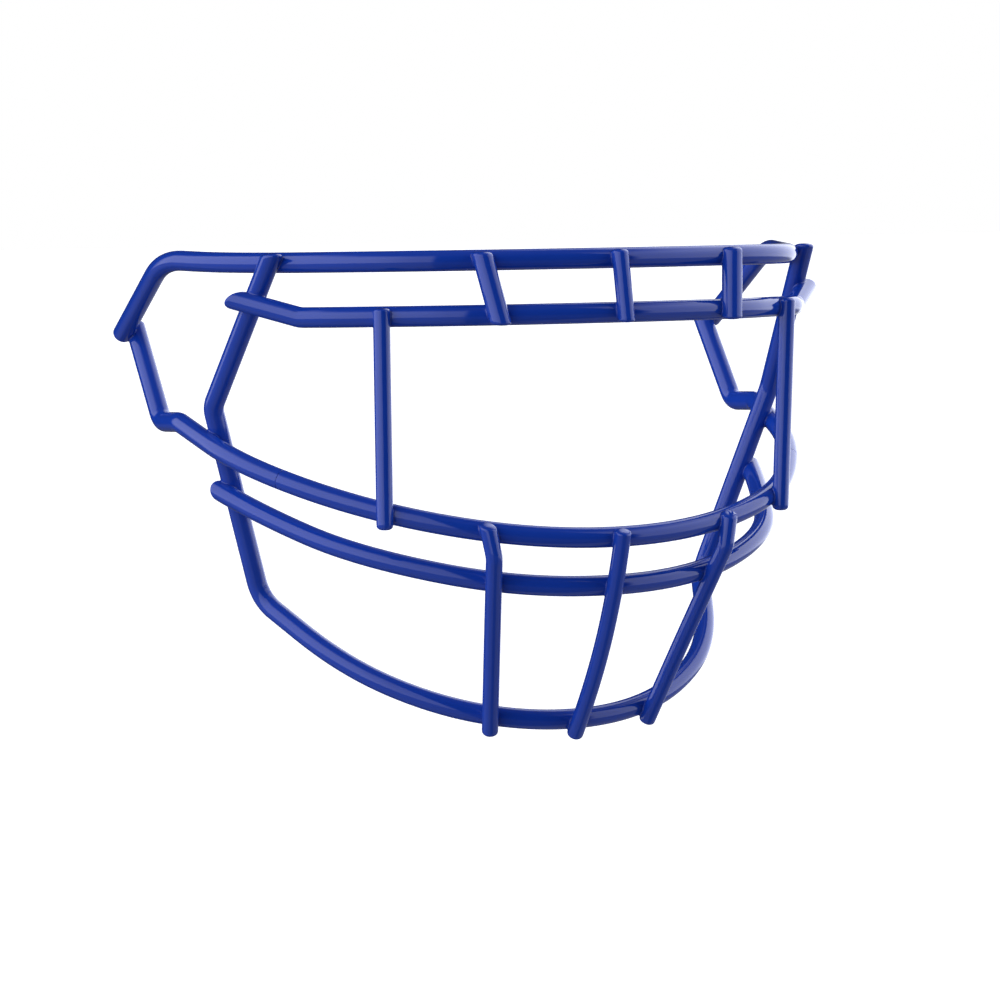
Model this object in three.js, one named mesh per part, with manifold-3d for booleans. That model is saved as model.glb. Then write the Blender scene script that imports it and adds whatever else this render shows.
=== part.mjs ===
// Facemask of an American football helmet: a cage of bent steel wires that are welded where they
// cross and then dipped in a glossy polymer coating. Millimetres, +Z up. The face looks along -Y,
// the wearer's left is +X, and the origin is the middle of the brow bar.
//
// Every wire is one round section swept along its bent centreline. The wires that run from side to
// side are written as their left half and mirrored in the plane X = 0. Most ends are sawn square,
// and some are sawn level or on a slant, so that they finish flush with the wire they cross.

import * as THREE from "three";
import { mergeVertices } from "three/addons/utils/BufferGeometryUtils.js";
import Module from "manifold-3d";

// ---------------------------------------------------------------- driving dimensions

const MAIN_DIAMETER = 6.6; // 5.7 mm wire and 0.45 mm of coating all round
const STRUT_DIAMETER = 5.4; // 4.5 mm wire and the same coating
const SECTION_SIDES = 12; // flats round a wire, each touching the true round section
const STEP_DEGREES = 12; // longest turn between two rings of a bent wire
const CLEARANCE = 0.3; // gap kept between two solids that meet
const SAW_ALLOWANCE = 6; // spare wire beyond a slanted cut, before it is sawn off
const SAWN_OFF = 30; // side of the block of space that a slanted cut clears

const WELD_REACH = 1.8; // how far a weld nugget spreads past the flank of the outer wire
const WELD_HALF_HEIGHT = 2.9; // its reach from one wire towards the other
const BUTT_WELD_THICKNESS = 0.6; // disc of weld metal between two wire ends
const SIDE_FRAME_LENGTH = 109; // wire from a side frame's top end to its butt weld

const COATING = { color: 0x1c3aa6, roughness: 0.2, metalness: 0 };
const STRUT_COATING = { color: 0x1f3fae, roughness: 0.2, metalness: 0 };
const WELD_COATING = { color: 0x18338f, roughness: 0.3, metalness: 0 };

// ---------------------------------------------------------------- the wires' bend points

// A wire is a list of corner points. Its ends are tips, a press-brake corner is a bend with the
// radius of its centreline, and a sweep is a long soft curve that starts and ends midway to its
// neighbours, or at a tip.
const tip = (x, y, z) => ({ kind: "tip", at: new THREE.Vector3(x, y, z) });
const bend = (x, y, z, radius) => ({ kind: "bend", at: new THREE.Vector3(x, y, z), radius });
const sweep = (x, y, z) => ({ kind: "sweep", at: new THREE.Vector3(x, y, z) });

// Left halves, from the rear forward to the middle.
const BROW_HALF = [
  tip(112.5, 140, -29), bend(113, 101, -2.3, 28), sweep(102.5, 69, -2.5), sweep(73, 15.5, -0.5),
  sweep(21, 0, 0),
];
const VISOR_HALF = [
  tip(105.1, 59.8, -13.5), bend(90, 41.5, -18.8, 9), sweep(81, 28.5, -18.3), sweep(38, -4, -17),
];
const JAW_HALF = [
  tip(108, 140, -25.5), bend(108, 115.5, -56.5, 7.5), bend(108, 100, -55.5, 9),
  sweep(101.5, 61.5, -67.5), sweep(71.5, 19.5, -80.5), sweep(25.5, -2, -88.5),
];
const MOUTH_HALF = [
  tip(99.5, 88, -77), sweep(93, 69.5, -83.5), sweep(74.5, 31.5, -94.8), sweep(29, 3, -104.5),
];
const HOOP_HALF = [
  tip(97, 47.2, 1.4), bend(103.5, 82, -49.5, 9), bend(82.5, 92.5, -114.5, 11),
  sweep(67.5, 59.5, -133.5), sweep(43.5, 39.5, -145.5), sweep(15.5, 28.5, -151),
];

// Struts, whole. Each outer one is written for the left and mirrored.
const BROW_STRUT_CENTRE = [tip(0, -4, 3), tip(0, -9, -20)];
const BROW_STRUT_LEFT = [tip(44.8, 3.6, 2.7), tip(41.1, -3.2, -20.3)];
const CHEEK_STRUT_LEFT = [tip(73, 17, -15), tip(71.5, 18, -85)];
const CHIN_STRUT_CENTRE = [
  tip(0, -7, -86), sweep(0, -3, -102.5), sweep(0, 12.5, -136.5), tip(0, 27, -156.5),
];
const CHIN_STRUT_LEFT = [
  tip(43.5, 2, -83), bend(41.5, 1, -93.5, 6), sweep(33.5, 19.5, -130.5), tip(28.5, 31, -154.5),
];

// The ways that slanted ends face, [first end, last end], where null is a square cut.
const LEVEL = new THREE.Vector3(0, 0, 1);
const UPRIGHT = new THREE.Vector3(0, 1, 0);
const LEANING = new THREE.Vector3(0, -0.34, 0.94);
const ALONG_HOOP = new THREE.Vector3(0, 0.829, 0.559);
const HOOP_CUTS = [LEVEL, LEVEL];
const VISOR_CUTS = [ALONG_HOOP, ALONG_HOOP];
const MOUTH_CUTS = [UPRIGHT, UPRIGHT];
const BROW_STRUT_CUTS = [LEVEL, LEVEL.clone().negate()];
const CHIN_STRUT_CUTS = [LEANING, null];
const SQUARE_CUTS = [null, null];

// ---------------------------------------------------------------- centrelines

const mirror = (point) => ({ ...point, at: new THREE.Vector3(-point.at.x, point.at.y, point.at.z) });
const whole = (half) => [...half, ...half.map(mirror).reverse()];

// Points and directions along a wire: a straight takes none between its ends, a curve takes one
// every few degrees.
function centreline(corners) {
  const stations = [];
  const add = (point, direction) => {
    const last = stations.at(-1);
    if (!last || last.point.distanceTo(point) > 1e-4) {
      stations.push({ point, direction: direction.clone().normalize() });
    }
  };
  corners.forEach((corner, i) => {
    const before = corners[i - 1];
    const after = corners[i + 1];
    if (!before || !after) {
      const direction = before ? corner.at.clone().sub(before.at) : after.at.clone().sub(corner.at);
      add(corner.at.clone(), direction);
      return;
    }
    const back = before.at.clone().sub(corner.at);
    const ahead = after.at.clone().sub(corner.at);
    const turn = Math.PI - back.angleTo(ahead);
    const steps = Math.max(2, Math.ceil(THREE.MathUtils.radToDeg(turn) / STEP_DEGREES));
    let reachBack = before.kind === "tip" ? back.length() : back.length() / 2;
    let reachAhead = after.kind === "tip" ? ahead.length() : ahead.length() / 2;
    if (corner.kind === "bend") {
      reachBack = corner.radius * Math.tan(turn / 2);
      reachAhead = reachBack;
    }
    const start = corner.at.clone().addScaledVector(back.normalize(), reachBack);
    const end = corner.at.clone().addScaledVector(ahead.normalize(), reachAhead);
    const curve = new THREE.QuadraticBezierCurve3(start, corner.at.clone(), end);
    for (let step = 0; step <= steps; step += 1) {
      add(curve.getPoint(step / steps), curve.getTangent(step / steps));
    }
  });
  return stations;
}

// The stretch of a centreline between two distances along it.
function stretch(stations, from, to) {
  const piece = [];
  let travelled = 0;
  stations.forEach((station, i) => {
    const next = stations[i + 1];
    if (travelled >= from && travelled <= to) piece.push(station);
    if (!next) return;
    const length = station.point.distanceTo(next.point);
    for (const cut of [from, to]) {
      if (cut > travelled && cut < travelled + length) {
        const share = (cut - travelled) / length;
        piece.push({
          point: station.point.clone().lerp(next.point, share),
          direction: station.direction.clone().lerp(next.direction, share).normalize(),
        });
      }
    }
    travelled += length;
  });
  return piece;
}

function lengthOf(stations) {
  return stations.slice(1).reduce((sum, s, i) => sum + s.point.distanceTo(stations[i].point), 0);
}

// A curve that lands on the stations themselves, so that an extrusion puts one ring on each.
class StationCurve extends THREE.Curve {
  constructor(stations) {
    super();
    this.stations = stations;
  }

  getPointAt(u, target = new THREE.Vector3()) {
    return target.copy(this.stations[Math.round(u * (this.stations.length - 1))].point);
  }

  getTangentAt(u, target = new THREE.Vector3()) {
    return target.copy(this.stations[Math.round(u * (this.stations.length - 1))].direction);
  }
}

// ---------------------------------------------------------------- solids

const wasm = await Module();
wasm.setup();

// A polygon whose flats touch a circle of this radius.
function roundSection(radius) {
  const corner = radius / Math.cos(Math.PI / SECTION_SIDES);
  const points = [];
  for (let i = 0; i < SECTION_SIDES; i += 1) {
    const angle = ((i + 0.5) * 2 * Math.PI) / SECTION_SIDES;
    points.push(new THREE.Vector2(corner * Math.cos(angle), corner * Math.sin(angle)));
  }
  return new THREE.Shape(points);
}

function toSolid(geometry) {
  const bare = geometry.clone();
  bare.deleteAttribute("normal");
  bare.deleteAttribute("uv");
  const merged = mergeVertices(bare, 1e-4);
  return new wasm.Manifold(new wasm.Mesh({
    numProp: 3,
    vertProperties: new Float32Array(merged.attributes.position.array),
    triVerts: new Uint32Array(merged.index.array),
  }));
}

function toGeometry(solid) {
  const mesh = solid.getMesh();
  const geometry = new THREE.BufferGeometry();
  geometry.setAttribute("position", new THREE.BufferAttribute(mesh.vertProperties, 3));
  geometry.setIndex(new THREE.BufferAttribute(mesh.triVerts, 1));
  geometry.computeVertexNormals();
  return geometry;
}

// A block that fills the space beyond a cut.
function beyond(point, normal) {
  const block = new THREE.BoxGeometry(SAWN_OFF, SAWN_OFF, SAWN_OFF);
  block.translate(0, 0, SAWN_OFF / 2);
  block.applyQuaternion(new THREE.Quaternion().setFromUnitVectors(LEVEL, normal.clone().normalize()));
  block.translate(point.x, point.y, point.z);
  return toSolid(block);
}

function rod(stations, radius) {
  return toSolid(new THREE.ExtrudeGeometry(roundSection(radius), {
    steps: stations.length - 1,
    curveSegments: 1,
    bevelEnabled: false,
    extrudePath: new StationCurve(stations),
  }));
}

// A rod with its slanted ends sawn, grown all round by some margin.
function wireSolid({ stations, radius, cuts }, margin = 0) {
  const line = [...stations];
  const ends = [[0, -1], [line.length - 1, 1]];
  ends.forEach(([index, way], end) => {
    if (!cuts[end]) return;
    const { point, direction } = line[index];
    const longer = point.clone().addScaledVector(direction, way * SAW_ALLOWANCE);
    line[index] = { point: longer, direction };
  });
  let solid = rod(line, radius + margin);
  ends.forEach(([index], end) => {
    if (!cuts[end]) return;
    const normal = cuts[end].clone().normalize();
    const plane = stations[index].point.clone().addScaledVector(normal, margin);
    solid = solid.subtract(beyond(plane, normal));
  });
  return solid;
}

// ---------------------------------------------------------------- the fifteen wires

const wires = new Map();
const addWire = (name, stations, diameter, coating, cuts) => {
  const wire = { stations, radius: diameter / 2, coating, cuts };
  wires.set(name, { ...wire, solid: wireSolid(wire) });
};
const addMain = (name, stations, cuts = SQUARE_CUTS) => {
  addWire(name, stations, MAIN_DIAMETER, COATING, cuts);
};
const addStrut = (name, corners, cuts = SQUARE_CUTS) => {
  addWire(name, centreline(corners), STRUT_DIAMETER, STRUT_COATING, cuts);
};

addMain("brow_bar", centreline(whole(BROW_HALF)));
addMain("visor_bar", centreline(whole(VISOR_HALF)), VISOR_CUTS);
addMain("mouth_bar", centreline(whole(MOUTH_HALF)), MOUTH_CUTS);
addMain("chin_hoop", centreline(whole(HOOP_HALF)), HOOP_CUTS);

// The jaw wire is three pieces, butt-welded on each side.
const jawLine = centreline(whole(JAW_HALF));
const jawLength = lengthOf(jawLine);
const halfDisc = BUTT_WELD_THICKNESS / 2;
const leftSeam = SIDE_FRAME_LENGTH;
const rightSeam = jawLength - SIDE_FRAME_LENGTH;
const reach = halfDisc + CLEARANCE;
addMain("side_frame_left", stretch(jawLine, 0, leftSeam - reach));
addMain("jaw_bar", stretch(jawLine, leftSeam + reach, rightSeam - reach));
addMain("side_frame_right", stretch(jawLine, rightSeam + reach, jawLength + 1));

// The outer brow struts are of the heavy gauge, and the other struts of the light one.
addStrut("brow_strut_centre", BROW_STRUT_CENTRE, BROW_STRUT_CUTS);
addStrut("chin_strut_centre", CHIN_STRUT_CENTRE, CHIN_STRUT_CUTS);
for (const [side, place] of [["left", (p) => p], ["right", mirror]]) {
  addMain(`brow_strut_${side}`, centreline(BROW_STRUT_LEFT.map(place)), BROW_STRUT_CUTS);
  addStrut(`cheek_strut_${side}`, CHEEK_STRUT_LEFT.map(place));
  addStrut(`chin_strut_${side}`, CHIN_STRUT_LEFT.map(place), CHIN_STRUT_CUTS);
}

// ---------------------------------------------------------------- crossings

// Each crossing: the wire nearer the face, the wire outside it, and the side it lies on.
const crossings = [];
for (const side of ["left", "right"]) {
  crossings.push(["brow_bar", "chin_hoop", side]);
  crossings.push([`side_frame_${side}`, "brow_bar", side]);
  crossings.push(["chin_hoop", "visor_bar", side]);
  crossings.push(["chin_hoop", `side_frame_${side}`, side]);
  crossings.push(["chin_hoop", "mouth_bar", side]);
  crossings.push(["visor_bar", `cheek_strut_${side}`, side]);
  crossings.push(["jaw_bar", `cheek_strut_${side}`, side]);
}
for (const side of ["left", "centre", "right"]) {
  crossings.push(["brow_bar", `brow_strut_${side}`, side]);
  crossings.push(["visor_bar", `brow_strut_${side}`, side]);
  crossings.push(["jaw_bar", `chin_strut_${side}`, side]);
  crossings.push(["mouth_bar", `chin_strut_${side}`, side]);
  crossings.push(["chin_hoop", `chin_strut_${side}`, side]);
}

const onSide = {
  left: (point) => point.x > 10,
  centre: (point) => Math.abs(point.x) < 10,
  right: (point) => point.x < -10,
};

// Points every millimetre or so along a centreline.
function finePoints(stations) {
  const points = [];
  for (let i = 1; i < stations.length; i += 1) {
    const from = stations[i - 1].point;
    const to = stations[i].point;
    const count = Math.ceil(from.distanceTo(to));
    for (let k = 0; k <= count; k += 1) points.push(from.clone().lerp(to, k / count));
  }
  return points;
}

// Where two wires come closest: the point of each centreline.
function closestPoints(inner, outer, side) {
  let best = { distance: Infinity };
  const outerPoints = finePoints(outer.stations).filter(onSide[side]);
  for (const a of finePoints(inner.stations).filter(onSide[side])) {
    for (const b of outerPoints) {
      const distance = a.distanceTo(b);
      if (distance < best.distance) best = { distance, a, b };
    }
  }
  return best;
}

const grown = new Map();
for (const [name, wire] of wires) grown.set(name, wireSolid(wire, CLEARANCE));

const weldPlaces = crossings.map(([innerName, outerName, side]) => {
  const inner = wires.get(innerName);
  const outer = wires.get(outerName);
  const { a, b } = closestPoints(inner, outer, side);
  const middle = a.clone().lerp(b, inner.radius / (inner.radius + outer.radius));
  return { innerName, outerName, side, middle, normal: b.clone().sub(a).normalize() };
});

// The outer wire is seated on the inner one, so it takes the notch.
for (const [innerName, outerName] of crossings) {
  const outer = wires.get(outerName);
  outer.solid = outer.solid.subtract(grown.get(innerName));
}

// A weld nugget is a flattened ball that fills the crook between the two wires, and stops where
// a slanted end of either of them does.
function nugget({ innerName, outerName, middle, normal }) {
  const radius = wires.get(outerName).radius + WELD_REACH;
  const ball = new THREE.SphereGeometry(1, 8, 4);
  ball.rotateX(Math.PI / 2);
  ball.scale(radius, radius, WELD_HALF_HEIGHT);
  ball.applyQuaternion(new THREE.Quaternion().setFromUnitVectors(new THREE.Vector3(0, 0, 1), normal));
  ball.translate(middle.x, middle.y, middle.z);
  let cut = toSolid(ball).subtract(grown.get(innerName)).subtract(grown.get(outerName));
  for (const { stations, cuts } of [wires.get(innerName), wires.get(outerName)]) {
    [stations[0], stations.at(-1)].forEach((station, end) => {
      if (cuts[end]) cut = cut.subtract(beyond(station.point, cuts[end]));
    });
  }
  const pieces = cut.decompose();
  return pieces.reduce((a, b) => (a.volume() > b.volume() ? a : b));
}

// ---------------------------------------------------------------- the assembly

const facemask = new THREE.Group();
facemask.name = "facemask";

function addMesh(name, solid, coating) {
  const mesh = new THREE.Mesh(toGeometry(solid), new THREE.MeshStandardMaterial(coating));
  mesh.name = name;
  facemask.add(mesh);
}

for (const [name, wire] of wires) addMesh(name, wire.solid, wire.coating);

for (const place of weldPlaces) {
  const pair = `${place.innerName}_${place.outerName}`.replaceAll(/_(left|centre|right)/g, "");
  addMesh(`weld_${pair}_${place.side}`, nugget(place), WELD_COATING);
}

for (const [side, seam] of [["left", leftSeam], ["right", rightSeam]]) {
  const disc = rod(stretch(jawLine, seam - halfDisc, seam + halfDisc), MAIN_DIAMETER / 2);
  addMesh(`butt_weld_${side}`, disc, WELD_COATING);
}

export default facemask;
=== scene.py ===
# Facemask of an American football helmet: fifteen bent steel wires, welded where they cross and
# dipped in a glossy royal blue coating. Metres, +Z up. The face looks along -Y, the wearer's left
# is +X, and the origin is the middle of the brow bar.

import math

import bpy
import numpy as np
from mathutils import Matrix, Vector
from mathutils.bvhtree import BVHTree


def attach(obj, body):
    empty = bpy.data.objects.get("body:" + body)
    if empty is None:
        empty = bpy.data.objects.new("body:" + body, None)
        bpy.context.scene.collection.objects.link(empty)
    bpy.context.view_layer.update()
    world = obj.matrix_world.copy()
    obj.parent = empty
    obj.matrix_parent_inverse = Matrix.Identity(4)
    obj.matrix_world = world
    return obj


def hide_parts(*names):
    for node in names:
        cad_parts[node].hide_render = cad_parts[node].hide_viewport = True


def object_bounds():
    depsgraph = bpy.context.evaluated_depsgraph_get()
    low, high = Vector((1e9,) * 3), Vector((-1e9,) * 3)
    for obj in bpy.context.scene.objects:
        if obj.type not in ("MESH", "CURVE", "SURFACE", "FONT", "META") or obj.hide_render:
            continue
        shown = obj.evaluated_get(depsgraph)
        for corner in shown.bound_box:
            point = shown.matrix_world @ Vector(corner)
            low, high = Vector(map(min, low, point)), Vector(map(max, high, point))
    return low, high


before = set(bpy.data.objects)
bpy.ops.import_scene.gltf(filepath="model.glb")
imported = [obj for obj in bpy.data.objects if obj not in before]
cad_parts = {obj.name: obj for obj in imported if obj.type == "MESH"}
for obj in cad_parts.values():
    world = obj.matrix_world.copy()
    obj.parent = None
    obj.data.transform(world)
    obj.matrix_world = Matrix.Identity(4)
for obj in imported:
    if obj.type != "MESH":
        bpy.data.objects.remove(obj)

cad_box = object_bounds()

# ---------------------------------------------------------------- camera
# A long lens in front of the wearer's right cheek, a little above the brow, aimed at the middle
# of the cage.

CAMERA_AZIMUTH = math.radians(-26.065)
CAMERA_ELEVATION = math.radians(5.621)
CAMERA_DISTANCE = 1.3275
CAMERA_LENS_MM = 151.2
CAMERA_SENSOR_MM = 36
CAMERA_AIM = Vector((-0.0356, 0.0091, -0.0762))


def direction(azimuth, elevation):
    """The unit vector towards that azimuth, which is 0 in front and grows to the wearer's left."""
    level = math.cos(elevation)
    return Vector((math.sin(azimuth) * level, -math.cos(azimuth) * level, math.sin(elevation)))


camera_data = bpy.data.cameras.new("camera")
camera_data.lens = CAMERA_LENS_MM
camera_data.sensor_width = CAMERA_SENSOR_MM
camera = bpy.data.objects.new("camera", camera_data)
camera.location = CAMERA_AIM + direction(CAMERA_AZIMUTH, CAMERA_ELEVATION) * CAMERA_DISTANCE
camera.rotation_euler = (math.pi / 2 - CAMERA_ELEVATION, 0, CAMERA_AZIMUTH)
bpy.context.scene.collection.objects.link(camera)
bpy.context.scene.camera = camera

# ---------------------------------------------------------------- brow bar
# The top wire of the cage: 5.7 mm round steel, bent down at each temple, where clips hold its two
# ends to the helmet's shell, and dipped with the whole cage in a glossy coating 0.45 mm thick.

MM = 0.001
MAIN_RADIUS = 3.3 * MM
MAIN_SIDES = 48
CUT_END_DEPTH = 1.2 * MM
ROUNDED = (CUT_END_DEPTH, CUT_END_DEPTH)
CUT_END_FULLNESS = 2.8  # 2 is a round end, and more is squarer
CUT_END_STEPS = 9
CUT_END_SHOULDER = 0.2 * MM
POINT_OF_END = 0.02  # how full the last ring is
SLANTED_FROM = -1.5 * CUT_END_SHOULDER  # from where the end's rounding starts
OTHER_STRETCH = 1.5  # a vertex this many radii off the end's line isn't part of that end
TURN_PER_STEP = math.radians(2.5)
FEWEST_STEPS = 8
SAME_PLACE = 0.01 * MM
SQUARE = (None, None)

BROW_HALF = [
    ("tip", 112.5, 140, -29),
    ("bend", 113, 101, -2.3, 28),
    ("sweep", 102.5, 69, -2.5),
    ("sweep", 73, 15.5, -0.5),
    ("sweep", 21, 0, 0),
]


def mirrored(corner):
    """The same corner of a wire on the wearer's other side."""
    kind, x, *rest = corner
    return (kind, -x, *rest)


def whole(half):
    """A wire from side to side, from its left half, which runs from its tip to the middle."""
    return half + [mirrored(corner) for corner in reversed(half)]


def centreline(corners):
    """Points along a bent wire. A bend turns on its radius, and a sweep is one long soft curve
    from midway to the corner before it to midway to the next, or as far as a tip."""
    kinds = [corner[0] for corner in corners]
    places = [Vector(corner[1:4]) * MM for corner in corners]
    points = [places[0]]
    for i in range(1, len(corners) - 1):
        back = places[i - 1] - places[i]
        ahead = places[i + 1] - places[i]
        turn = math.pi - back.angle(ahead)
        reach_back = back.length * (1 if kinds[i - 1] == "tip" else 0.5)
        reach_ahead = ahead.length * (1 if kinds[i + 1] == "tip" else 0.5)
        if kinds[i] == "bend":
            reach_back = reach_ahead = corners[i][4] * MM * math.tan(turn / 2)
        start = places[i] + back.normalized() * reach_back
        end = places[i] + ahead.normalized() * reach_ahead
        steps = max(FEWEST_STEPS, math.ceil(turn / TURN_PER_STEP))
        for step in range(steps + 1):
            t = step / steps
            points.append(start * (1 - t) ** 2 + places[i] * (2 * t * (1 - t)) + end * t ** 2)
    points.append(places[-1])
    apart = [points[0]]
    for point in points[1:]:
        if (point - apart[-1]).length > SAME_PLACE:
            apart.append(point)
    return apart


def with_cut_ends(points, radius, depths, facings):
    """The wire's points and how full it is at each: its sawn ends are rounded off by the coating,
    over the depth given for its first and its last end. A slanted cut is rounded further, so
    that its sharp side is too. The wire's own points there make way for the end's."""
    line = [(point, 1.0) for point in points[1:-1]]
    ends = ((-1, -2, depths[1], facings[1]), (0, 1, depths[0], facings[0]))
    for end, towards, depth, facing in ends:
        along = (points[towards] - points[end]).normalized()
        lean = math.tan(facing.angle(-along)) if facing else 0
        depth *= 1 + lean
        shoulder = depth + CUT_END_SHOULDER
        taken = shoulder + radius * lean
        line = [spot for spot in line if (spot[0] - points[end]).length > taken]
        rounded = [(points[end] + along * shoulder, 1.0)]
        for step in range(CUT_END_STEPS + 1):
            angle = math.pi / 2 * step / CUT_END_STEPS
            fullness = math.cos(angle) ** (2 / CUT_END_FULLNESS)
            inward = depth * (1 - math.sin(angle) ** (2 / CUT_END_FULLNESS))
            rounded.append((points[end] + along * inward, max(fullness, POINT_OF_END)))
        line = line + rounded if end == -1 else rounded[::-1] + line
    return line


def wire_tree():
    """Sweeps a round section along a wire's line and gives it its coating."""
    tree = bpy.data.node_groups.new("coated wire", "GeometryNodeTree")
    face = tree.interface
    face.new_socket("Line", in_out="INPUT", socket_type="NodeSocketGeometry")
    face.new_socket("Radius", in_out="INPUT", socket_type="NodeSocketFloat")
    face.new_socket("Sides", in_out="INPUT", socket_type="NodeSocketInt")
    face.new_socket("Coating", in_out="INPUT", socket_type="NodeSocketMaterial")
    face.new_socket("Wire", in_out="OUTPUT", socket_type="NodeSocketGeometry")
    add = tree.nodes.new
    join = tree.links.new
    given = add("NodeGroupInput")
    section = add("GeometryNodeCurvePrimitiveCircle")
    sweep = add("GeometryNodeCurveToMesh")
    sweep.inputs["Fill Caps"].default_value = True
    fullness = add("GeometryNodeInputRadius")
    smooth = add("GeometryNodeSetShadeSmooth")
    real = add("GeometryNodeRealizeInstances")
    coat = add("GeometryNodeSetMaterial")
    made = add("NodeGroupOutput")
    join(given.outputs["Radius"], section.inputs["Radius"])
    join(given.outputs["Sides"], section.inputs["Resolution"])
    join(given.outputs["Line"], sweep.inputs["Curve"])
    join(section.outputs["Curve"], sweep.inputs["Profile Curve"])
    join(fullness.outputs["Radius"], sweep.inputs["Scale"])
    join(sweep.outputs["Mesh"], smooth.inputs["Geometry"])
    join(smooth.outputs["Geometry"], real.inputs["Geometry"])
    join(real.outputs["Geometry"], coat.inputs["Geometry"])
    join(given.outputs["Coating"], coat.inputs["Material"])
    join(coat.outputs["Geometry"], made.inputs["Wire"])
    return tree


WIRE_TREE = wire_tree()


def slant(mesh, line, radius, facing):
    """Slides the rings of the wire's last end along it until the end faces the way given."""
    tip = line[-1][0]
    full = line[-1 - CUT_END_STEPS][0]
    outward = (tip - full).normalized()
    for vertex in mesh.vertices:
        past = (vertex.co - full).dot(outward)
        across = vertex.co - full - outward * past
        if past > SLANTED_FROM and across.length < radius * OTHER_STRETCH:
            vertex.co -= outward * (across.dot(facing) / outward.dot(facing))


def swept(name, line, radius, sides, coating, facings=SQUARE):
    """A wire's mesh, swept along its line by the wire tree, with its slanted ends."""
    curve = bpy.data.curves.new(name, "CURVE")
    curve.dimensions = "3D"
    spline = curve.splines.new("POLY")
    spline.points.add(len(line) - 1)
    for spot, (point, fullness) in zip(spline.points, line):
        spot.co = (*point, 1)
        spot.radius = fullness
    bare = bpy.data.objects.new(name, curve)
    bpy.context.scene.collection.objects.link(bare)
    maker = bare.modifiers.new("coated wire", "NODES")
    maker.node_group = WIRE_TREE
    values = {"Radius": radius, "Sides": sides, "Coating": coating}
    for socket in WIRE_TREE.interface.items_tree:
        if socket.name in values:
            maker[socket.identifier] = values[socket.name]
    graph = bpy.context.evaluated_depsgraph_get()
    mesh = bpy.data.meshes.new_from_object(bare.evaluated_get(graph))
    bpy.data.objects.remove(bare)
    for ordered, facing in ((line[::-1], facings[0]), (line, facings[1])):
        if facing:
            slant(mesh, ordered, radius, facing)
    return mesh


COATING_IOR = 1.5
COATING_RUNS = (60, 3)  # each pattern has a scale and a detail
GLOSS_PATCHES = (180, 4)
GLOSS_RANGE = (0.7, 1.3)
DIP_WAVES = (110, 1)
DIP_WAVE_STRENGTH = 0.25
DIP_WAVE_HEIGHT = 0.12 * MM
FINE_SKIN = (900, 2)
FINE_SKIN_STRENGTH = 0.15
FINE_SKIN_HEIGHT = 0.01 * MM


def coating_material(name, colour, thin_colour, roughness):
    """Glossy dipped coating: a deep blue that is paler where it ran thin, with the long soft
    waves of a dip, a fine skin on them, and gloss that varies a little from place to place."""
    material = bpy.data.materials.new(name)
    material.use_nodes = True
    tree = material.node_tree
    shader = tree.nodes["Principled BSDF"]
    shader.inputs["IOR"].default_value = COATING_IOR
    place = tree.nodes.new("ShaderNodeTexCoord")

    def noise(scale, detail):
        """One cloudy pattern fixed to the piece."""
        node = tree.nodes.new("ShaderNodeTexNoise")
        node.inputs["Scale"].default_value = scale
        node.inputs["Detail"].default_value = detail
        tree.links.new(place.outputs["Object"], node.inputs["Vector"])
        return node.outputs["Fac"]

    runs = tree.nodes.new("ShaderNodeMix")
    runs.data_type = "RGBA"
    runs.inputs["A"].default_value = (*colour, 1)
    runs.inputs["B"].default_value = (*thin_colour, 1)
    tree.links.new(noise(*COATING_RUNS), runs.inputs["Factor"])
    tree.links.new(runs.outputs["Result"], shader.inputs["Base Color"])

    gloss = tree.nodes.new("ShaderNodeMapRange")
    gloss.inputs["To Min"].default_value = roughness * GLOSS_RANGE[0]
    gloss.inputs["To Max"].default_value = roughness * GLOSS_RANGE[1]
    tree.links.new(noise(*GLOSS_PATCHES), gloss.inputs["Value"])
    tree.links.new(gloss.outputs["Result"], shader.inputs["Roughness"])

    waves = tree.nodes.new("ShaderNodeBump")
    waves.inputs["Strength"].default_value = DIP_WAVE_STRENGTH
    waves.inputs["Distance"].default_value = DIP_WAVE_HEIGHT
    tree.links.new(noise(*DIP_WAVES), waves.inputs["Height"])
    skin = tree.nodes.new("ShaderNodeBump")
    skin.inputs["Strength"].default_value = FINE_SKIN_STRENGTH
    skin.inputs["Distance"].default_value = FINE_SKIN_HEIGHT
    tree.links.new(noise(*FINE_SKIN), skin.inputs["Height"])
    tree.links.new(waves.outputs["Normal"], skin.inputs["Normal"])
    tree.links.new(skin.outputs["Normal"], shader.inputs["Normal"])
    return material


MAIN_COATING = coating_material(
    "royal blue coating", (0.0063, 0.0445, 0.362), (0.0093, 0.053, 0.412), 0.06
)

wires = {}


def put_in_place(mesh, name, node):
    """A finished mesh as a visual piece, instead of its CAD node."""
    piece = bpy.data.objects.new(name, mesh)
    bpy.context.scene.collection.objects.link(piece)
    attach(piece, "root")
    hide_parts(node)


def add_wire(node, points, radius, sides, coating, slot, depths=ROUNDED, facings=SQUARE):
    """One coated wire in place of its CAD node."""
    line = with_cut_ends(points, radius, depths, facings)
    mesh = swept(node + "_wire", line, radius, sides, coating, facings)
    wires[node] = {"line": line, "radius": radius, "facings": facings}
    put_in_place(mesh, node + "_wire", node)


def add_main_wire(node, points, **ends):
    """A wire of the heavy gauge."""
    add_wire(node, points, MAIN_RADIUS, MAIN_SIDES, MAIN_COATING, "main_wire_coating", **ends)


add_main_wire("brow_bar", centreline(whole(BROW_HALF)))

# ---------------------------------------------------------------- visor bar
# The second wire down, under the eyes' field of view: the same steel wire, kinked at each side to
# lie on the chin hoop, and spot welded to it.

VISOR_HALF = [
    ("tip", 105.1, 59.8, -13.5),
    ("bend", 90, 41.5, -18.8, 9),
    ("sweep", 81, 28.5, -18.3),
    ("sweep", 38, -4, -17),
]

ALONG_HOOP = Vector((0, 0.829, 0.559))

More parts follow.
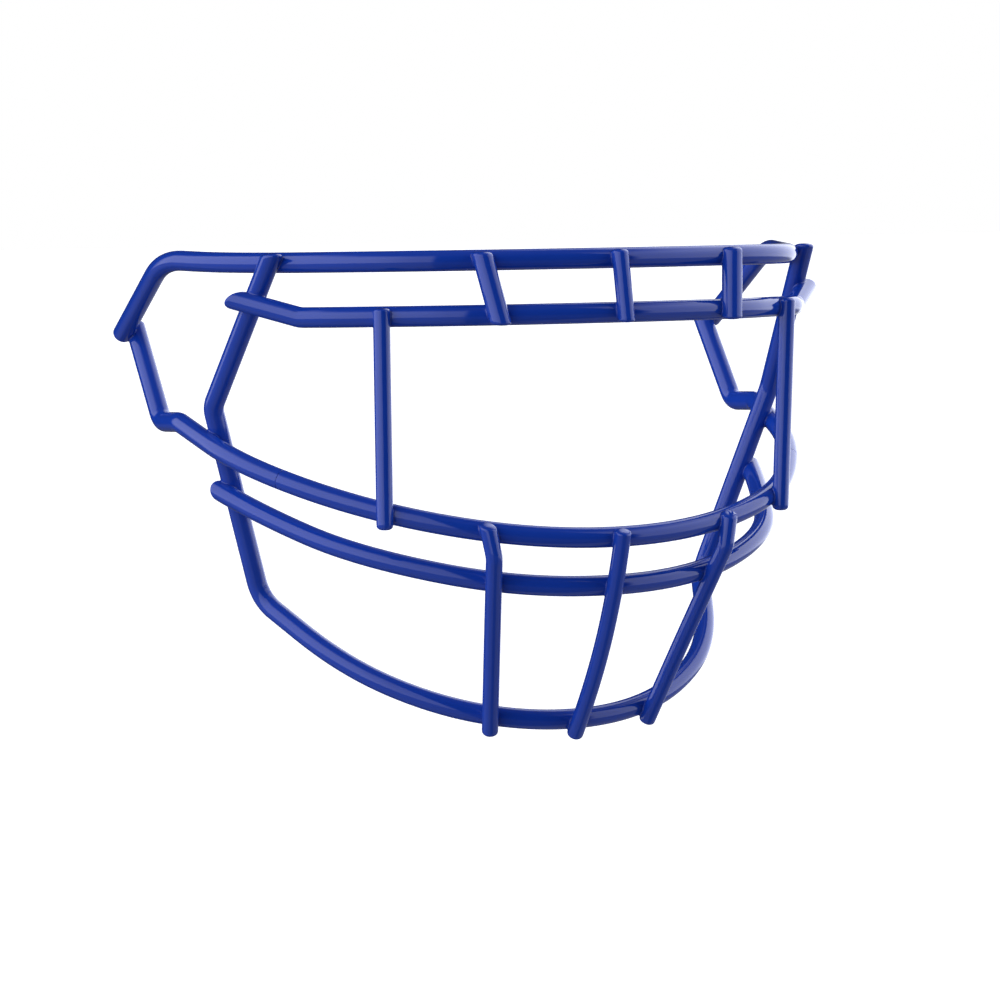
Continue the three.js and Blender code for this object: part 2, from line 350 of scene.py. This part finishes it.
add_main_wire("visor_bar", centreline(whole(VISOR_HALF)), facings=(ALONG_HOOP, ALONG_HOOP))

# ---------------------------------------------------------------- jaw bar and side frames
# One line of wire from ear to ear in three lengths: a side frame at each ear, bent twice to reach
# the lower clip of the helmet, and the jaw bar between them, butt welded to both.

SIDE_FRAME_LENGTH = 109 * MM
SEAM_GAP = 0.1 * MM
SEAM_END_DEPTH = 0.12 * MM

JAW_HALF = [
    ("tip", 108, 140, -25.5),
    ("bend", 108, 115.5, -56.5, 7.5),
    ("bend", 108, 100, -55.5, 9),
    ("sweep", 101.5, 61.5, -67.5),
    ("sweep", 71.5, 19.5, -80.5),
    ("sweep", 25.5, -2, -88.5),
]


def distances(points):
    """How far along the line each of its points is."""
    steps = [(b - a).length for a, b in zip(points, points[1:])]
    return np.concatenate([[0], np.cumsum(steps)])


def stretch(points, start, end):
    """The part of a line between two distances along it."""
    far = distances(points)

    def at(distance):
        """The place at that distance."""
        return Vector([np.interp(distance, far, [p[axis] for p in points]) for axis in range(3)])

    between = [p for p, d in zip(points, far) if start < d < end]
    return [at(start), *between, at(end)]


jaw_line = centreline(whole(JAW_HALF))
jaw_length = distances(jaw_line)[-1]
seams = {"left": SIDE_FRAME_LENGTH, "right": jaw_length - SIDE_FRAME_LENGTH}

add_main_wire(
    "side_frame_left",
    stretch(jaw_line, 0, seams["left"] - SEAM_GAP / 2),
    depths=(CUT_END_DEPTH, SEAM_END_DEPTH),
)
add_main_wire(
    "jaw_bar",
    stretch(jaw_line, seams["left"] + SEAM_GAP / 2, seams["right"] - SEAM_GAP / 2),
    depths=(SEAM_END_DEPTH, SEAM_END_DEPTH),
)
add_main_wire(
    "side_frame_right",
    stretch(jaw_line, seams["right"] + SEAM_GAP / 2, jaw_length),
    depths=(SEAM_END_DEPTH, CUT_END_DEPTH),
)

# ---------------------------------------------------------------- mouth bar
# The wire below the jaw bar, in one long curve, with both ends sawn off behind the chin hoop.

MOUTH_HALF = [
    ("tip", 99.5, 88, -77),
    ("sweep", 93, 69.5, -83.5),
    ("sweep", 74.5, 31.5, -94.8),
    ("sweep", 29, 3, -104.5),
]

UPRIGHT = Vector((0, 1, 0))

add_main_wire("mouth_bar", centreline(whole(MOUTH_HALF)), facings=(UPRIGHT, UPRIGHT))

# ---------------------------------------------------------------- chin hoop
# The wire that ties the others together: from the brow bar down both cheeks, inside the visor,
# jaw and mouth bars, and forward under the chin.

HOOP_HALF = [
    ("tip", 97, 47.2, 1.4),
    ("bend", 103.5, 82, -49.5, 9),
    ("bend", 82.5, 92.5, -114.5, 11),
    ("sweep", 67.5, 59.5, -133.5),
    ("sweep", 43.5, 39.5, -145.5),
    ("sweep", 15.5, 28.5, -151),
]

LEVEL = Vector((0, 0, 1))

add_main_wire("chin_hoop", centreline(whole(HOOP_HALF)), facings=(LEVEL, LEVEL))

# ---------------------------------------------------------------- brow struts
# Three short lengths that tie the brow bar to the visor bar: the outer two of the same wire, the
# middle one of 4.5 mm wire. They lie on the front of both bars, and the dip coats them too.

STRUT_RADIUS = 2.7 * MM
STRUT_SIDES = 40
STRUT_COATING = coating_material(
    "royal blue coating on struts", (0.0063, 0.0455, 0.367), (0.0093, 0.054, 0.417), 0.06
)

BROW_STRUT_CENTRE = [("tip", 0, -4, 3), ("tip", 0, -9, -20)]
BROW_STRUT_LEFT = [("tip", 44.8, 3.6, 2.7), ("tip", 41.1, -3.2, -20.3)]
BROW_STRUT_FACINGS = (LEVEL, -LEVEL)


def add_strut(node, corners, **ends):
    """A wire of the light gauge."""
    points = centreline(corners)
    add_wire(node, points, STRUT_RADIUS, STRUT_SIDES, STRUT_COATING, "strut_coating", **ends)


def left_and_right(left_corners):
    """The corners of a wire on the wearer's left, and of its mirror image on the right."""
    return {"left": left_corners, "right": [mirrored(corner) for corner in left_corners]}


add_strut("brow_strut_centre", BROW_STRUT_CENTRE, facings=BROW_STRUT_FACINGS)
for side, corners in left_and_right(BROW_STRUT_LEFT).items():
    add_main_wire("brow_strut_" + side, centreline(corners), facings=BROW_STRUT_FACINGS)

# ---------------------------------------------------------------- cheek struts
# The long light wires in front of the cheeks, from the visor bar down to the jaw bar.

CHEEK_STRUT_LEFT = [("tip", 73, 17, -15), ("tip", 71.5, 18, -85)]

CHEEK_STRUT_DEPTHS = (1.2 * MM, 2 * MM)

for side, corners in left_and_right(CHEEK_STRUT_LEFT).items():
    add_strut("cheek_strut_" + side, corners, depths=CHEEK_STRUT_DEPTHS)

# ---------------------------------------------------------------- chin struts
# Three light wires that hang on the jaw bar, cross the mouth bar and end on the hoop under the
# chin, bent to follow the bars.

CHIN_STRUT_CENTRE = [
    ("tip", 0, -7, -86),
    ("sweep", 0, -3, -102.5),
    ("sweep", 0, 12.5, -136.5),
    ("tip", 0, 27, -156.5),
]
CHIN_STRUT_LEFT = [
    ("tip", 43.5, 2, -83),
    ("bend", 41.5, 1, -93.5, 6),
    ("sweep", 33.5, 19.5, -130.5),
    ("tip", 28.5, 31, -154.5),
]

CHIN_STRUT_FACINGS = (Vector((0, -0.34, 0.94)), None)

CHIN_STRUT_DEPTHS = (0.8 * MM, 1.8 * MM)
chin_ends = {"depths": CHIN_STRUT_DEPTHS, "facings": CHIN_STRUT_FACINGS}

add_strut("chin_strut_centre", CHIN_STRUT_CENTRE, **chin_ends)
for side, corners in left_and_right(CHIN_STRUT_LEFT).items():
    add_strut("chin_strut_" + side, corners, **chin_ends)

# ---------------------------------------------------------------- resistance welds
# Where two wires cross they are pressed together hot until each sinks into the other, and the
# dip fills the crook all round with a small smooth fillet of coating.

FILLET_RADIUS = 0.36 * MM
FILLET_VARIATION = 0.1
FILLET_PLACES = 72
FILLET_STEPS = 8
FILLET_TAIL = 0.15 * MM
FILLET_TAIL_DEPTH = 0.03 * MM
FILLET_ROOT = 0.5 * MM
OPEN_CROOK = math.radians(25)
MISFIT = 0.03 * MM
ROLLING_ROUNDS = 14
NEAR_PARALLEL = 0.05
SLOW_SWELLS = 2
QUICK_SWELLS = 5
QUICK_SHARE = 0.5
FINE_SIDES = 96
MIDDLE_HALF_WIDTH = 10 * MM
CROSSING_STEP = 0.5 * MM

# The weld coating is a darker blue than the wires' coating. This is painted shade in the crooks
# where wires cross and in the butt welds' hairlines.
SHADED_WELD_COATING = coating_material(
    "royal blue coating in the welds", (0.0055, 0.036, 0.31), (0.008, 0.044, 0.36), 0.24
)

# Finer copies of the wires, for the fillets to lie on.
surfaces = {}
for node, wire in wires.items():
    fine = swept(node, wire["line"], wire["radius"], FINE_SIDES, SHADED_WELD_COATING, wire["facings"])
    surfaces[node] = BVHTree.FromPolygons(
        [vertex.co for vertex in fine.vertices], [tuple(face.vertices) for face in fine.polygons]
    )
    bpy.data.meshes.remove(fine)


def crossing(inner, outer, side):
    """Where two wires come closest on one side of the cage, and the way from one to the other."""
    here = {
        "left": lambda x: x > MIDDLE_HALF_WIDTH,
        "centre": lambda x: abs(x) < MIDDLE_HALF_WIDTH,
        "right": lambda x: x < -MIDDLE_HALF_WIDTH,
    }[side]

    def dense(node):
        """Places close together along a wire, on this side of the cage."""
        points = [point for point, fullness in wires[node]["line"] if fullness == 1]
        far = distances(points)
        spots = np.arange(0, far[-1], CROSSING_STEP)
        each_axis = [np.interp(spots, far, [p[axis] for p in points]) for axis in range(3)]
        along = np.stack(each_axis, 1)
        return np.array([spot for spot in along if here(spot[0])])

    a = dense(inner)
    b = dense(outer)
    apart = np.linalg.norm(a[:, None] - b[None], axis=2)
    i, j = np.unravel_index(apart.argmin(), apart.shape)
    normal = Vector(b[j] - a[i]).normalized()
    share = wires[inner]["radius"] / (wires[inner]["radius"] + wires[outer]["radius"])
    return Vector(a[i]).lerp(Vector(b[j]), share), normal


def off(surface, point):
    """How far a point is outside a wire, and the way straight out of the wire there."""
    nearest, face_normal, _, distance = surface.find_nearest(point)
    outward = point - nearest
    if outward.dot(face_normal) < 0:
        return -distance, -outward.normalized()
    return distance, outward.normalized()


def rolled(inner, outer, middle, normal, azimuth, radius):
    """The middle of a ball that rests in the crook on both wires, at that azimuth round the weld,
    and the ways from each wire to it, or nothing where the crook runs out at a wire's end."""
    across = normal.orthogonal().normalized()
    out = across * math.cos(azimuth) + normal.cross(across) * math.sin(azimuth)
    reach, height = STRUT_RADIUS + radius, 0.0
    for _ in range(ROLLING_ROUNDS):
        ball = middle + out * reach + normal * height
        gap_a, way_a = off(surfaces[inner], ball)
        gap_b, way_b = off(surfaces[outer], ball)
        slopes = np.array([[way.dot(out), way.dot(normal)] for way in (way_a, way_b)])
        lacking = [radius - gap_a, radius - gap_b]
        step = np.linalg.lstsq(slopes, lacking, rcond=NEAR_PARALLEL)[0]
        reach += float(np.clip(step[0], -MM, MM))
        height += float(np.clip(step[1], -MM, MM))
    misfit = max(abs(gap_a - radius), abs(gap_b - radius))
    if misfit > MISFIT or way_a.angle(way_b) < OPEN_CROOK:
        return None
    return ball, way_a, way_b


def fillet_section(ball, way_a, way_b, radius):
    """The fillet cut across: its hollow face, a tail on each wire, and its buried root."""
    turn = way_a.angle(way_b)
    section = []
    for step in range(FILLET_STEPS + 1):
        t = step / FILLET_STEPS
        way = (way_a * math.sin((1 - t) * turn) + way_b * math.sin(t * turn)) / math.sin(turn)
        section.append(ball - way * radius)
    tails = []
    for contact, way, neighbour in (
        (section[0], way_a, section[1]), (section[-1], way_b, section[-2])
    ):
        back = contact - neighbour
        along = (back - way * back.dot(way)).normalized()
        tails.append(contact + along * FILLET_TAIL - way * FILLET_TAIL_DEPTH)
    inward = (way_a + way_b).normalized()
    root = ball - inward * (radius / math.cos(turn / 2) + FILLET_ROOT)
    return [tails[0], *section, tails[1], root]


def bridged(sections):
    """The sections, with a straight bridge through the wire's end wherever some are missing."""
    kept = [place for place, section in enumerate(sections) if section]
    for before, after in zip(kept, kept[1:] + [kept[0] + FILLET_PLACES]):
        start = sections[before]
        end = sections[after % FILLET_PLACES]
        for place in range(before + 1, after):
            t = (place - before) / (after - before)
            between = [a.lerp(b, t) for a, b in zip(start, end)]
            sections[place % FILLET_PLACES] = between
    return sections


def fillet_mesh(name, inner, outer, middle, normal, seed):
    """A closed ring whose outer face is the fillet and whose root is buried in the two wires."""
    wobble = np.random.default_rng(seed).uniform(0, 2 * math.pi, 2)
    sections = []
    for place in range(FILLET_PLACES):
        azimuth = 2 * math.pi * place / FILLET_PLACES
        slow = math.sin(SLOW_SWELLS * azimuth + wobble[0])
        quick = QUICK_SHARE * math.sin(QUICK_SWELLS * azimuth + wobble[1])
        radius = FILLET_RADIUS * (1 + FILLET_VARIATION * (slow + quick) / (1 + QUICK_SHARE))
        rest = rolled(inner, outer, middle, normal, azimuth, radius)
        sections.append(fillet_section(*rest, radius) if rest else None)
    corners = bridged(sections)
    count = len(corners[0])
    faces = []
    for i in range(FILLET_PLACES):
        ahead = (i + 1) % FILLET_PLACES
        for k in range(count):
            up = (k + 1) % count
            faces.append((i * count + k, ahead * count + k, ahead * count + up, i * count + up))
    mesh = bpy.data.meshes.new(name)
    mesh.from_pydata([corner for ring in corners for corner in ring], [], faces)
    mesh.shade_smooth()
    mesh.materials.append(SHADED_WELD_COATING)
    return mesh


crossings = []
for side in ("left", "right"):
    frame_node = "side_frame_" + side
    crossings += [
        ("brow_bar", "chin_hoop", side),
        (frame_node, "brow_bar", side),
        ("chin_hoop", "visor_bar", side),
        ("chin_hoop", frame_node, side),
        ("chin_hoop", "mouth_bar", side),
        ("visor_bar", "cheek_strut_" + side, side),
        ("jaw_bar", "cheek_strut_" + side, side),
    ]
for side in ("left", "centre", "right"):
    crossings += [
        ("brow_bar", "brow_strut_" + side, side),
        ("visor_bar", "brow_strut_" + side, side),
        ("jaw_bar", "chin_strut_" + side, side),
        ("mouth_bar", "chin_strut_" + side, side),
        ("chin_hoop", "chin_strut_" + side, side),
    ]

for seed, (inner, outer, side) in enumerate(crossings):
    middle, normal = crossing(inner, outer, side)
    pair = (inner + "_" + outer).replace("_left", "").replace("_centre", "").replace("_right", "")
    node = f"weld_{pair}_{side}"
    mesh = fillet_mesh(node + "_fillet", inner, outer, middle, normal, seed)
    put_in_place(mesh, node + "_fillet", node)

# ---------------------------------------------------------------- butt welds
# The disc of weld metal between a side frame and the jaw bar, ground flush and coated over: all
# that shows is a hairline round the wire.

BUTT_WELD_THICKNESS = 0.6 * MM
BUTT_WELD_SINK = 0.12 * MM

for side, seam in seams.items():
    node = "butt_weld_" + side
    points = stretch(jaw_line, seam - BUTT_WELD_THICKNESS / 2, seam + BUTT_WELD_THICKNESS / 2)
    line = [(point, 1.0) for point in points]
    # The disc wears the darker weld coating, as painted shade in the hairline groove.
    mesh = swept(node + "_disc", line, MAIN_RADIUS - BUTT_WELD_SINK, MAIN_SIDES, SHADED_WELD_COATING)
    put_in_place(mesh, node + "_disc", node)

# ---------------------------------------------------------------- floor and lights
# The cage hangs in a white studio, well above a pale floor. Two tall curved softboxes stand at
# its sides, dimmer towards the front, and turned a little to the wearer's left. The floor sends
# some of their light back up, and it is darker in front, behind and overhead.

FLOOR_BELOW = 0.45
FLOOR_SIZE = 30
FLOOR_WHITE = (0.9, 0.9, 0.9, 1)
FLOOR_ROUGHNESS = 0.9
FLOOR_GLOW = 0.6

SOFTBOX_BRIGHTNESS = 2.0
STUDIO_TURN = math.radians(3)
SOFTBOX_TINT = (0.87, 0.9, 1.03, 1)
SOFTBOX_FRONT_EDGE = (29, 33)
SOFTBOX_FRONT_DIMMED = (35, 75)
SOFTBOX_FRONT_SHARE = 0.6
SOFTBOX_BACK_EDGE = (136, 150)
SOFTBOX_FOOT = (-15, -9)
SOFTBOX_HEAD = (42, 66)
LEFT_SOFTBOX_EXTRA = 0.1
FLOOR_BOUNCE = 0.11
FLOOR_BOUNCE_AT_SIDES = 0.28
ROOM_BRIGHTNESS = 0.03
CEILING_BRIGHTNESS = 0.1
BACKDROP_WHITE = (1, 1, 1, 1)

floor_z = cad_box[0].z - FLOOR_BELOW
half_floor = FLOOR_SIZE / 2
floor_corners = [
    (-half_floor, -half_floor, floor_z),
    (half_floor, -half_floor, floor_z),
    (half_floor, half_floor, floor_z),
    (-half_floor, half_floor, floor_z),
]
floor_mesh = bpy.data.meshes.new("floor")
floor_mesh.from_pydata(floor_corners, [], [(0, 1, 2, 3)])
paint = bpy.data.materials.new("white floor paint")
paint.use_nodes = True
painted = paint.node_tree.nodes["Principled BSDF"].inputs
painted["Base Color"].default_value = FLOOR_WHITE
painted["Roughness"].default_value = FLOOR_ROUGHNESS
painted["Emission Color"].default_value = FLOOR_WHITE
painted["Emission Strength"].default_value = FLOOR_GLOW
floor_mesh.materials.append(paint)
floor = bpy.data.objects.new("floor", floor_mesh)
bpy.context.scene.collection.objects.link(floor)
floor.visible_glossy = False
floor.visible_diffuse = False

world = bpy.data.worlds.new("studio")
world.use_nodes = True
studio = world.node_tree


def worked_out(operation, *values):
    """The result of one sum in the studio's light, from numbers or other results."""
    node = studio.nodes.new("ShaderNodeMath")
    node.operation = operation
    for socket, value in zip(node.inputs, values):
        if isinstance(value, bpy.types.NodeSocket):
            studio.links.new(value, socket)
        else:
            socket.default_value = value
    return node.outputs["Value"]


def soft_step(angle, edge):
    """Rises smoothly from 0 to 1 as an angle passes an edge, given in degrees."""
    node = studio.nodes.new("ShaderNodeMapRange")
    node.interpolation_type = "SMOOTHSTEP"
    node.inputs["From Min"].default_value = math.radians(edge[0])
    node.inputs["From Max"].default_value = math.radians(edge[1])
    studio.links.new(angle, node.inputs["Value"])
    return node.outputs["Result"]


def within(*steps):
    """The light that several shares leave, which is their product."""
    product = steps[0]
    for step in steps[1:]:
        product = worked_out("MULTIPLY", product, step)
    return product


def rest_of(share):
    """What is left of 1."""
    return worked_out("SUBTRACT", 1.0, share)


towards = studio.nodes.new("ShaderNodeSeparateXYZ")
sky = studio.nodes.new("ShaderNodeTexCoord")
studio.links.new(sky.outputs["Generated"], towards.inputs["Vector"])
forward = worked_out("MULTIPLY", towards.outputs["Y"], -1.0)
azimuth = worked_out("ARCTAN2", towards.outputs["X"], forward)
off_front = worked_out("ABSOLUTE", worked_out("SUBTRACT", azimuth, STUDIO_TURN))
height = worked_out("ARCSINE", towards.outputs["Z"])

at_side = within(
    soft_step(off_front, SOFTBOX_FRONT_EDGE), rest_of(soft_step(off_front, SOFTBOX_BACK_EDGE))
)
above_foot = soft_step(height, SOFTBOX_FOOT)
above_head = soft_step(height, SOFTBOX_HEAD)
full_from = soft_step(off_front, SOFTBOX_FRONT_DIMMED)
evenness = worked_out("MULTIPLY_ADD", full_from, 1 - SOFTBOX_FRONT_SHARE, SOFTBOX_FRONT_SHARE)
on_left = worked_out("GREATER_THAN", azimuth, 0.0)
left_extra = LEFT_SOFTBOX_EXTRA * SOFTBOX_BRIGHTNESS
gain = worked_out("MULTIPLY_ADD", on_left, left_extra, SOFTBOX_BRIGHTNESS)
softboxes = within(at_side, above_foot, rest_of(above_head), evenness, gain)

bounce = worked_out("MULTIPLY_ADD", at_side, FLOOR_BOUNCE_AT_SIDES, FLOOR_BOUNCE)
from_floor = within(rest_of(above_foot), bounce)
ceiling = worked_out("MULTIPLY_ADD", above_head, CEILING_BRIGHTNESS, ROOM_BRIGHTNESS)
brightness = worked_out("ADD", softboxes, worked_out("ADD", from_floor, ceiling))

lit = studio.nodes["Background"]
lit.inputs["Color"].default_value = SOFTBOX_TINT
studio.links.new(brightness, lit.inputs["Strength"])
backdrop = studio.nodes.new("ShaderNodeBackground")
backdrop.inputs["Color"].default_value = BACKDROP_WHITE
either = studio.nodes.new("ShaderNodeMixShader")
rays = studio.nodes.new("ShaderNodeLightPath")
studio.links.new(rays.outputs["Is Camera Ray"], either.inputs["Fac"])
studio.links.new(lit.outputs["Background"], either.inputs[1])
studio.links.new(backdrop.outputs["Background"], either.inputs[2])
studio.links.new(either.outputs["Shader"], studio.nodes["World Output"].inputs["Surface"])
bpy.context.scene.world = world
bpy.context.scene.view_settings.view_transform = "Standard"
